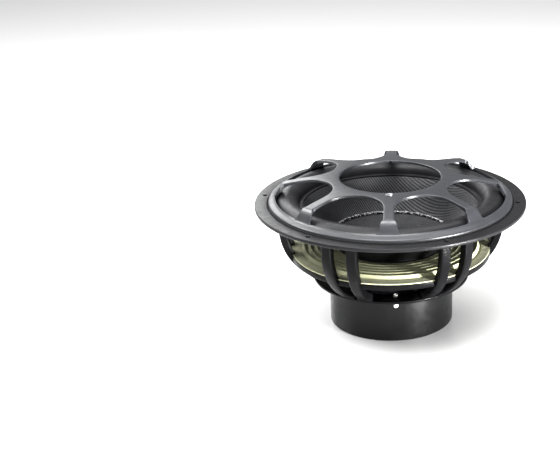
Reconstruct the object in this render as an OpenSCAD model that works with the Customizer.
// Car subwoofer speaker: a cast basket with paired ribs, a wide voice coil in an
// internal-magnet motor, a woven cone on a rubber surround and a spoked front grille.
// Z = 0 is the bottom of the motor, +Z points out of the cone and the axis is X = Y = 0.
// Angles are measured around Z from the -Y side, where a wide basket window is.

/* [Overall] */
// Outer diameter of the mounting flange
flange_d = 314; // [300:1:380]
// Height of the flange's front face above the bottom of the motor
flange_z = 148; // [140:1:180]
// Outer diameter of the motor can
motor_d = 146; // [146:1:150]
// Height of the motor can
motor_h = 50; // [46:1:60]

/* [Flange] */
// Thickness of the flange
flange_t = 4.5; // [3:0.5:6]
// Width of the flange outside the basket's skirt
flange_w = 24; // [20:1:28]
// Width of the flat face outside the surround's landing
face_w = 15; // [13:1:18]
// Depth of the surround's landing below the front face
landing_depth = 3; // [2.5:0.1:3.4]
// Diameter of the mounting holes
hole_d = 5.4; // [4:0.1:6.5]
// Distance of the mounting holes from the flange's edge
hole_inset = 9.5; // [7:0.5:10.5]
// Number of mounting holes
hole_count = 6; // [4:2:12]
// Angle of the first mounting hole
hole_angle = 19.5; // [0:0.5:60]

/* [Basket] */
// Width of one rib
rib_w = 12; // [8:0.5:14]
// Depth of one rib, across its outer face
rib_depth = 9; // [7:0.5:10]
// Half the angle between the two ribs of a pair
rib_spread = 6.8; // [6:0.1:8]
// Number of rib pairs
pair_count = 6; // [6:1:6]
// Outer diameter of the base dish
base_d = 184; // [178:1:190]
// Height of the base dish's rim
base_rim_h = 8; // [6:0.5:9]
// Thickness of the base dish's floor
base_floor = 4; // [3:0.5:5]
// Distance of the spider shelf's top below the front face
shelf_drop = 58.5; // [54:0.5:60]
// Thickness of the spider shelf
shelf_t = 6.5; // [5:0.5:8]
// Width of the spider shelf
shelf_w = 10; // [8:0.5:11]

/* [Grille] */
// Height of the grille above the flange's front face
grille_h = 27.5; // [24:0.5:34]
// Thickness of the grille plate
grille_t = 3; // [2:0.25:4]
// Width of one grille leg
leg_w = 11.5; // [8:0.5:14]
// Number of grille legs
leg_count = 8; // [8:1:8]
// Diameter of the centre opening
centre_d = 117; // [90:1:125]
// Width of the plate between the centre opening and a scallop
scallop_wall = 13.5; // [8:0.5:18]
// Angle of the first grille leg
leg_angle = -5; // [-22:1:22]
// Width of the grille's foot ring
foot_w = 8; // [6:0.5:8]

/* [Moving parts] */
// Diameter of the voice coil former
former_d = 127; // [124:0.5:127]
// Wall of the voice coil former
former_t = 0.4; // [0.3:0.1:0.6]
// Thickness of the coil winding
winding_t = 1.6; // [1:0.1:1.7]
// Length of the coil winding
winding_h = 30; // [24:1:32]
// Travel of the cone each way
travel = 10; // [6:1:11]
// Wall of the cone
cone_t = 1.6; // [1:0.1:2]
// Depth of the cone's edge below the flange's front face
edge_depth = 6.5; // [5:0.5:9]
// Width of the surround's roll
roll_w = 26; // [24:0.5:32]
// Height of the surround's roll
roll_h = 12; // [8:0.5:13]
// Thickness of the surround
surround_t = 1.6; // [1:0.1:2]
// Depth of the dust cap's bowl
cap_depth = 14; // [8:1:18]
// Height of the spider's waves
wave_h = 2.5; // [1:0.25:3]
// Number of waves in the spider
wave_count = 6; // [4:1:8]

/* [Motor] */
// Thickness of the plate that forms the magnetic gap
plate_t = 10; // [8:1:12]
// Depth of that plate's top below the can's top
plate_drop = 8; // [6:1:9]
// Clearance on each side of the coil in the gap
gap_clear = 0.9; // [0.6:0.1:1]
// Diameter of the vent through the motor
vent_d = 36; // [24:1:44]
// Thickness of the can's sleeve
sleeve_t = 2; // [1.5:0.1:2]

/* [Terminals] */
// Distance between the two binding posts
post_pitch = 26; // [22:1:28]
// Diameter of a post's stud
stud_d = 6; // [4:0.5:6]
// Diameter of a thumb nut
knob_d = 13; // [10:0.5:13]
// Length of a thumb nut
knob_h = 15; // [10:1:16]
// Diameter of a tinsel lead
lead_d = 2.4; // [1.6:0.2:3]

/* [Hidden] */
fit = 0.3;                          // space between soft or moving faces
thread_fit = 0.09;                  // running clearance of a thread
flange_r = flange_d / 2;
skirt_r = flange_r - flange_w;
rib_r = skirt_r - 1.5;
flange_back = flange_z - flange_t;
skirt_bottom = flange_z - 10;
landing_r = flange_r - face_w;
landing_z = flange_z - landing_depth;
hole_r = flange_r - hole_inset;
edge_round = 2.2;
shelf_top = flange_z - shelf_drop;
shelf_bottom = shelf_top - shelf_t;
base_top = motor_h + base_rim_h;
base_r = base_d / 2;
rim_w = 4;                          // top face of the base dish's rim
rim_lip = 2.2;                      // outer face of that rim
dish_slope = 10;                    // the dish's floor rises over this width to its rim
rib_skin = 4.4;                     // casting left outside the spider shelf
motor_r = motor_d / 2;
pot_r = motor_r - sleeve_t;
former_r = former_d / 2;
coil_r = former_r + winding_t;
pot_bore = coil_r + gap_clear;
plate_r = former_r - former_t - gap_clear;
plate_top = motor_h - plate_drop;
plate_bottom = plate_top - plate_t;
coil_mid = plate_top - plate_t / 2;
coil_bottom = coil_mid - winding_h / 2;
floor_t = coil_bottom - travel - 2;
vent_r = vent_d / 2;
magnet_r = plate_r - 6;
spider_z = shelf_top + 2;
spider_t = 1.2;
neck_z = spider_z + 4.5;
edge_z = flange_z - edge_depth;
foot_r = landing_r - 1;
opening_r = foot_r - foot_w;
foot_in = opening_r - 1.2;
roll_outer = foot_in - fit;
roll_inner = roll_outer - roll_w;
cap_r = former_r + 6.5;
cone_rim = roll_inner - 4;
neck_wall = cone_t + 0.6;            // the cone is thicker at its neck
cap_t = 1;
cap_rim = cap_r - 2.5;
bead_r = 2;
gasket_bottom = landing_z + surround_t;
gasket_top = flange_z + 1;
grille_top = flange_z + grille_h;
centre_r = centre_d / 2;
scallop_apex = centre_r + scallop_wall;
leg_pitch = 360 / leg_count;
screw_r = 1.5;
screw_ring = (pot_bore + pot_r) / 2;
dish_floor_r = max(base_r - rim_w - dish_slope, screw_ring + 3.2);  // the floor is flat under the screws
can_screw_z = motor_h - 5;
screw_depth = motor_h - can_screw_z - screw_r - 0.3;
board_w = 52;
board_t = 4;
board_top = shelf_bottom - 2;
board_bottom = board_top - board_t;
tag_t = 0.8;
tag_w = 6;
collar_h = 3;
washer_t = 1;
knob_gap = 0.3;

// Height of the cone's upper face at radius r
function cone_top(r) = neck_z + neck_wall
    + (edge_z - neck_z - neck_wall) * (r - former_r) / (cone_rim - 0.6 - former_r);
cap_z = cone_top(cap_rim + 0.4) + cap_t + fit;

// Bezier curve of the ribs' outer face, from the straight wall to the base dish
rib_bend = [
    [rib_r, flange_z - 23],
    [rib_r, flange_z - 58],
    [base_r + 20, base_top + 12],
    [base_r, base_top]
];
function bezier(p, t) = pow(1 - t, 3) * p[0] + 3 * t * pow(1 - t, 2) * p[1]
    + 3 * t * t * (1 - t) * p[2] + pow(t, 3) * p[3];
function slope_at(p, t) = 3 * pow(1 - t, 2) * (p[1] - p[0]) + 6 * t * (1 - t) * (p[2] - p[1])
    + 3 * t * t * (p[3] - p[2]);
function inward(p, t) = let (d = slope_at(p, t)) [d[1], -d[0]] / norm(d);
bend_steps = 16;
rib_outer = [for (i = [0 : bend_steps]) bezier(rib_bend, i / bend_steps)];
rib_inner = [for (i = [0 : bend_steps]) rib_outer[i] + rib_depth * inward(rib_bend, i / bend_steps)];
rib_table = [for (i = [bend_steps : -1 : 0]) [rib_outer[i][1], rib_outer[i][0]]];
shelf_r = lookup((shelf_top + shelf_bottom) / 2, rib_table) - rib_skin;
shelf_ri = shelf_r - shelf_w;
spider_ro = shelf_r - 0.5;

post_y = shelf_ri - 6;
collar_top = board_bottom - tag_t;
collar_bottom = collar_top - collar_h;
washer_bottom = collar_bottom - washer_t;
knob_top = washer_bottom - knob_gap;
stud_top = board_top + 3.2;
tag_y = shelf_r + 3.3;
tag_top = spider_z + 11;
lead_start = [tag_y - 0.8, tag_top - 3];
lead_end = [former_r + fit + lead_d / 2, spider_z + 3.6];
lead_rise = 5;
lead_rings = 20;
lead_sides = 8;

$fn = 96;

// Points of an arc about c
function arc(c, r, a0, a1, n) = [for (i = [0 : n]) let (a = a0 + (a1 - a0) * i / n)
    c + r * [cos(a), sin(a)]];

// Places its children at radius r and each angle, counted from the -Y side
module around(count, first, r = 0) {
    for (i = [0 : count - 1]) rotate([0, 0, first + i * 360 / count - 90]) translate([r, 0, 0]) children();
}

module ring(ro, ri, z0, z1) {
    rotate_extrude() translate([ri, z0]) square([ro - ri, z1 - z0]);
}

// Flange, surround landing and skirt, turned about the axis
module basket_flange() {
    color("dimgray") difference() {
        rotate_extrude() polygon(concat(
            [[skirt_r - 8.5, skirt_bottom], [skirt_r, skirt_bottom], [skirt_r, flange_back]],
            arc([flange_r - 0.8, flange_back + 0.8], 0.8, -90, 0, 3),
            arc([flange_r - edge_round, flange_z - edge_round], edge_round, 0, 90, 6),
            [[landing_r, flange_z], [landing_r, landing_z], [skirt_r - 2, landing_z],
             [skirt_r - 8.5, skirt_bottom + 2]]));
        around(hole_count, hole_angle, hole_r) translate([0, 0, flange_back - 1])
            cylinder(d = hole_d, h = flange_t + 2, $fn = 48);
    }
}

// One rib: a straight wall under the skirt that bends in to the base dish
module rib() {
    rotate([90, 0, 0]) linear_extrude(rib_w, center = true) polygon(concat(
        [[rib_r, skirt_bottom]], rib_outer, [[base_r - rim_w, base_top]],
        [for (i = [bend_steps : -1 : 0]) if (rib_inner[i][1] > base_top) rib_inner[i]],
        [[rib_r - rib_depth, skirt_bottom]]));
}

module basket_ribs() {
    color("dimgray") difference() {
        for (side = [-1, 1]) around(pair_count, 180 / pair_count + side * rib_spread) rib();
        translate([0, 0, shelf_bottom]) cylinder(r = shelf_r, h = shelf_t + 3);
    }
}

module spider_shelf() {
    color("dimgray") difference() {
        ring(shelf_r, shelf_ri, shelf_bottom, shelf_top);
        for (x = [-20, 0, 20]) translate([x, shelf_ri + 4.5, shelf_bottom - 1])
            cylinder(r = screw_r, h = 5, $fn = 32);
    }
}

// Dish that closes the basket on top of the motor
module basket_base() {
    color("dimgray") difference() {
        rotate_extrude() polygon(concat(
            [[pot_bore + 0.5, motor_h], [motor_r + 2, motor_h]],
            arc([base_r - 1, base_top - rim_lip], 1, -60, 0, 4),
            [[base_r, base_top], [base_r - rim_w, base_top],
             [dish_floor_r, motor_h + base_floor], [pot_bore + 0.5, motor_h + base_floor]]));
        around(6, 0, screw_ring) translate([0, 0, motor_h - 1])
            cylinder(r = screw_r + 0.1, h = base_floor + 2, $fn = 32);
    }
}

module front_gasket() {
    color("black") ring(landing_r - 0.4, foot_in, gasket_bottom, gasket_top);
}

// Half-roll rubber edge with a glued lip on each side
module surround() {
    mid = (roll_outer + roll_inner) / 2;
    half = roll_w / 2;
    low = edge_z + fit;
    steps = 20;
    top = [for (i = [0 : steps]) let (a = 180 - 180 * i / steps, k = i / steps)
        [mid + half * cos(a), (low * (1 - k) + landing_z * k) + surround_t + roll_h * sin(a)]];
    under = [for (i = [steps : -1 : 0]) let (a = 180 - 180 * i / steps, k = i / steps)
        [mid + (half - surround_t) * cos(a), (low * (1 - k) + landing_z * k) + roll_h * sin(a)]];
    color([0.13, 0.13, 0.14]) rotate_extrude() polygon(concat(
        [[cone_rim, low + surround_t]], top,
        [[landing_r - 0.4, landing_z + surround_t], [landing_r - 0.4, landing_z]],
        under, [[cone_rim, low]]));
}

// Waved cloth disc that centres the coil
module spider() {
    inner = former_r + fit;
    steps = 8 * wave_count;
    wave = [for (i = [0 : steps]) let (k = i / steps, r = inner + 2 + (shelf_ri - inner - 2) * k)
        [r, spider_z + wave_h * sin(360 * wave_count * k) * min(1, 8 * k, 8 * (1 - k))
            - (spider_z - shelf_top - 0.1) * pow(k, 8)]];
    color([0.85, 0.84, 0.62]) rotate_extrude() polygon(concat(
        [[inner, spider_z + spider_t + 0.8], [inner, spider_z]],
        wave, [[spider_ro, shelf_top]], [[spider_ro, shelf_top + spider_t]],
        [for (i = [steps : -1 : 0]) wave[i] + [0, spider_t]]));
}

module cone() {
    color([0.22, 0.22, 0.24]) rotate_extrude() polygon([
        [former_r, neck_z], [cone_rim, edge_z - cone_t], [roll_inner, edge_z - cone_t],
        [roll_inner, edge_z], [cone_rim - 0.6, edge_z], [former_r, neck_z + neck_wall]]);
}

// Dished cap inside the cone
module dust_cap() {
    bowl = (cap_rim * cap_rim + cap_depth * cap_depth) / (2 * cap_depth);
    half_angle = asin(cap_rim / bowl);
    mid = [0, cap_z + bowl - cap_depth];
    color([0.2, 0.2, 0.22]) rotate_extrude() polygon(concat(
        arc(mid, bowl, -90, -90 + half_angle, 14), arc(mid, bowl + cap_t, -90 + half_angle, -90, 14)));
}

// Bead of adhesive that joins the cap's edge to the cone
module cap_bead() {
    color([0.05, 0.05, 0.05]) rotate_extrude() translate([cap_r, cone_top(cap_r)])
        circle(r = bead_r, $fn = 24);
}

module voice_coil_former() {
    color([0.1, 0.1, 0.1]) ring(former_r, former_r - former_t, coil_bottom, neck_z + neck_wall);
}

module coil_winding() {
    color([0.72, 0.4, 0.2]) ring(coil_r, former_r, coil_bottom, coil_bottom + winding_h);
}

// Plan of one opening between two legs, which point along +X on both sides
module scallop() {
    half = leg_pitch / 2;
    rho = (scallop_apex * sin(half) - leg_w / 2) / (1 - sin(half));
    corner = leg_w / 2 / sin(half);
    far = [corner + 2 * opening_r * cos(half), 2 * opening_r * sin(half)];
    intersection() {
        circle(r = opening_r);
        polygon(concat(arc([scallop_apex + rho, 0], rho, 90 + half, 270 - half, 24),
            [[far[0], -far[1]], far]));
    }
}

// Spoked plate that bends down to a foot ring
module grille() {
    shoulder = opening_r - 8;
    steps = 10;
    drop = 7.5;
    top = [for (i = [0 : steps]) let (k = i / steps)
        [centre_r + (shoulder - centre_r) * k, grille_top - drop * k * k]];
    under = [for (i = [steps : -1 : 0]) let (k = i / steps)
        [centre_r + (shoulder - 2 - centre_r) * k, grille_top - grille_t - drop * k * k]];
    color([0.35, 0.35, 0.38]) difference() {
        rotate_extrude() polygon(concat(top,
            [[opening_r + 0.8, gasket_top + 5], [foot_r - 1.5, gasket_top + 2.8], [foot_r, gasket_top],
             [foot_in, gasket_top], [foot_in, gasket_top + 4.8]], under));
        around(leg_count, leg_angle + leg_pitch / 2) translate([0, 0, gasket_top - 1])
            linear_extrude(grille_h + 2) scallop();
    }
}

module grille_badge() {
    color("silver") around(1, leg_angle, centre_r + 7) translate([0, 0, grille_top])
        cylinder(r = 4.2, h = 0.8, $fn = 48);
}

// Black sleeve around the steel pot
module motor_can() {
    color([0.07, 0.07, 0.075]) difference() {
        rotate_extrude() polygon(concat([[pot_r, 0.5]],
            arc([motor_r - 1.8, 2.3], 1.8, -90, 0, 5), [[motor_r, motor_h], [pot_r, motor_h]]));
        around(6, 0, pot_r - 1) translate([0, 0, can_screw_z]) rotate([0, 90, 0])
            cylinder(r = screw_r + 0.1, h = sleeve_t + 2, $fn = 32);
    }
}

module yoke_pot() {
    color([0.3, 0.3, 0.32]) difference() {
        rotate_extrude() polygon([[vent_r, 0], [pot_r - 0.6, 0], [pot_r, 0.6], [pot_r, motor_h],
            [pot_bore, motor_h], [pot_bore, floor_t], [vent_r, floor_t]]);
        around(6, 0, screw_ring) translate([0, 0, motor_h - screw_depth])
            cylinder(r = screw_r, h = screw_depth + 1, $fn = 32);
        around(6, 0, pot_bore - 1) translate([0, 0, can_screw_z]) rotate([0, 90, 0])
            cylinder(r = screw_r, h = pot_r - pot_bore + 2, $fn = 32);
        translate([0, 0, -1]) cylinder(r = vent_r + 2, h = 2.5);
    }
}

module magnet() {
    color([0.55, 0.55, 0.57]) ring(magnet_r, vent_r, floor_t, plate_bottom);
}

module gap_plate() {
    color([0.5, 0.5, 0.52]) ring(plate_r, vent_r, plate_bottom, plate_top);
}

module shorting_ring() {
    color([0.75, 0.75, 0.77]) ring(plate_r - 1, magnet_r + 1, floor_t, floor_t + 12);
}

// Perforated disc over the rear of the vent
module vent_mesh() {
    pitch = 6.2;
    color([0.1, 0.1, 0.1]) difference() {
        translate([0, 0, 0.5]) cylinder(r = vent_r + 2 - thread_fit, h = 1);
        for (ix = [-3 : 3], iy = [-3 : 3])
            let (p = [pitch * (ix + iy / 2), pitch * iy * sin(60)])
                if (norm(p) < vent_r - 3) translate([p[0], p[1], 0]) cylinder(d = 4.6, h = 2, $fn = 24);
    }
}

// Cap screws that hold the basket on the pot
module motor_screws() {
    color("silver") around(6, 0, screw_ring) {
        translate([0, 0, motor_h - screw_depth]) cylinder(r = screw_r, h = screw_depth + base_floor, $fn = 32);
        difference() {
            translate([0, 0, motor_h + base_floor]) cylinder(r = 2.8, h = 3, $fn = 32);
            translate([0, 0, motor_h + base_floor + 1.4]) cylinder(r = 1.4, h = 2, $fn = 6);
        }
    }
}

// Button-head screws that hold the sleeve on the pot
module can_screws() {
    color("silver") around(6, 0) translate([0, 0, can_screw_z]) rotate([0, 90, 0]) {
        translate([0, 0, pot_bore + 1]) cylinder(r = screw_r, h = motor_r - pot_bore - 1, $fn = 32);
        difference() {
            translate([0, 0, motor_r]) cylinder(r1 = 3, r2 = 2, h = 1.8, $fn = 32);
            translate([0, 0, motor_r + 0.8]) cylinder(r = 1, h = 2, $fn = 6);
        }
    }
}

// Plastic board under the shelf, in the window at the back
module terminal_board() {
    y_in = post_y - 12;
    y_out = tag_y - tag_t - 0.5;
    color([0.06, 0.06, 0.06]) difference() {
        union() {
            translate([-board_w / 2, y_in, board_bottom]) cube([board_w, y_out - y_in, board_t]);
            translate([-board_w / 2, shelf_ri + 1, board_top]) cube([board_w, shelf_w - 3, shelf_bottom - board_top]);
        }
        for (x = [-1, 1]) translate([x * post_pitch / 2, post_y, board_bottom - 1])
            cylinder(d = stud_d + 0.2, h = board_t + 2, $fn = 32);
        for (x = [-20, 0, 20]) translate([x, shelf_ri + 4.5, board_bottom - 1])
            cylinder(r = screw_r + 0.1, h = 8, $fn = 32);
    }
}

module board_screws() {
    color("silver") for (x = [-20, 0, 20]) translate([x, shelf_ri + 4.5, 0]) {
        translate([0, 0, board_bottom]) cylinder(r = screw_r, h = shelf_bottom + 3.5 - board_bottom, $fn = 32);
        translate([0, 0, board_bottom - 1.8]) cylinder(r1 = 2, r2 = 2.8, h = 1.8, $fn = 32);
    }
}

module at_post(side) {
    translate([side * post_pitch / 2, post_y, 0]) children();
}

// Threaded stud with a collar that clamps the solder tag to the board
module binding_post(side) {
    stud_bottom = knob_top - knob_h + 3;
    color([0.83, 0.68, 0.3]) at_post(side) {
        translate([0, 0, stud_bottom]) cylinder(d = stud_d, h = stud_top - stud_bottom, $fn = 48);
        translate([0, 0, collar_bottom]) cylinder(d = knob_d - 2, h = collar_h, $fn = 48);
    }
}

module post_nuts() {
    color([0.83, 0.68, 0.3]) for (side = [-1, 1]) at_post(side) difference() {
        translate([0, 0, board_top]) cylinder(d = 10.5, h = 2.5, $fn = 6);
        translate([0, 0, board_top - 1]) cylinder(d = stud_d + 2 * thread_fit, h = 5, $fn = 48);
    }
}

// Strip under the post's collar that turns up outside the shelf
module solder_tag(side) {
    color([0.85, 0.82, 0.7]) at_post(side) difference() {
        union() {
            translate([0, 0, collar_top]) cylinder(d = knob_d - 1, h = tag_t, $fn = 48);
            translate([-tag_w / 2, 0, collar_top]) cube([tag_w, tag_y - post_y, tag_t]);
            translate([-tag_w / 2, tag_y - tag_t - post_y, collar_top])
                cube([tag_w, tag_t, tag_top - collar_top]);
        }
        translate([0, 0, collar_top - 1]) cylinder(d = stud_d + 2 * thread_fit, h = 3, $fn = 48);
    }
}

module clamp_washer(side) {
    color([0.83, 0.68, 0.3]) at_post(side) difference() {
        translate([0, 0, washer_bottom]) cylinder(d = knob_d - 1.5, h = washer_t - 0.05, $fn = 48);
        translate([0, 0, washer_bottom - 1]) cylinder(d = stud_d + 2 * thread_fit, h = 3, $fn = 48);
    }
}

// Fluted nut that clamps the wire
module thumb_nut(side) {
    flutes = 18;
    color([0.9, 0.74, 0.33]) at_post(side) difference() {
        translate([0, 0, knob_top - knob_h]) cylinder(d = knob_d, h = knob_h, $fn = 72);
        translate([0, 0, knob_top - knob_h + 2]) cylinder(d = stud_d + 2 * thread_fit, h = knob_h, $fn = 48);
        for (i = [0 : flutes - 1]) rotate([0, 0, i * 360 / flutes])
            translate([knob_d / 2 + 0.3, 0, knob_top - knob_h + 3]) cylinder(r = 0.7, h = knob_h - 5, $fn = 16);
    }
}

// Lead from the tag to the former, an arch in a plane of constant X
function lead_point(side, k) = [side * (post_pitch / 2 - 2 * k),
    lead_start[0] + (lead_end[0] - lead_start[0]) * k,
    lead_start[1] + (lead_end[1] - lead_start[1]) * k + lead_rise * sin(180 * k)];

module tinsel_lead(side) {
    step = 0.001;
    last = (lead_rings - 1) * lead_sides;
    rings = [for (i = [0 : lead_rings - 1])
        let (k = i / (lead_rings - 1), p = lead_point(side, k),
            d = lead_point(side, k + step) - lead_point(side, k - step), t = d / norm(d),
            n = cross(t, [1, 0, 0]) / norm(cross(t, [1, 0, 0])), b = cross(t, n))
        for (j = [0 : lead_sides - 1]) let (a = 360 * j / lead_sides)
            p + lead_d / 2 * (n * cos(a) + b * sin(a))];
    color([0.3, 0.27, 0.2]) polyhedron(rings, concat(
        [[for (j = [lead_sides - 1 : -1 : 0]) j]],
        [for (i = [0 : lead_rings - 2], j = [0 : lead_sides - 1])
            let (a = i * lead_sides, m = (j + 1) % lead_sides)
            [a + j, a + m, a + lead_sides + m, a + lead_sides + j]],
        [[for (j = [0 : lead_sides - 1]) last + j]]));
}

basket_flange();
basket_ribs();
spider_shelf();
basket_base();
front_gasket();
surround();
spider();
cone();
dust_cap();
cap_bead();
voice_coil_former();
coil_winding();
grille();
grille_badge();
motor_can();
yoke_pot();
magnet();
gap_plate();
shorting_ring();
vent_mesh();
motor_screws();
can_screws();
terminal_board();
board_screws();
binding_post(-1);  // binding_post_a
binding_post(1);  // binding_post_b
post_nuts();
solder_tag(-1);  // solder_tag_a
solder_tag(1);  // solder_tag_b
clamp_washer(-1);  // clamp_washer_a
clamp_washer(1);  // clamp_washer_b
thumb_nut(-1);  // thumb_nut_a
thumb_nut(1);  // thumb_nut_b
tinsel_lead(-1);  // tinsel_lead_a
tinsel_lead(1);  // tinsel_lead_b
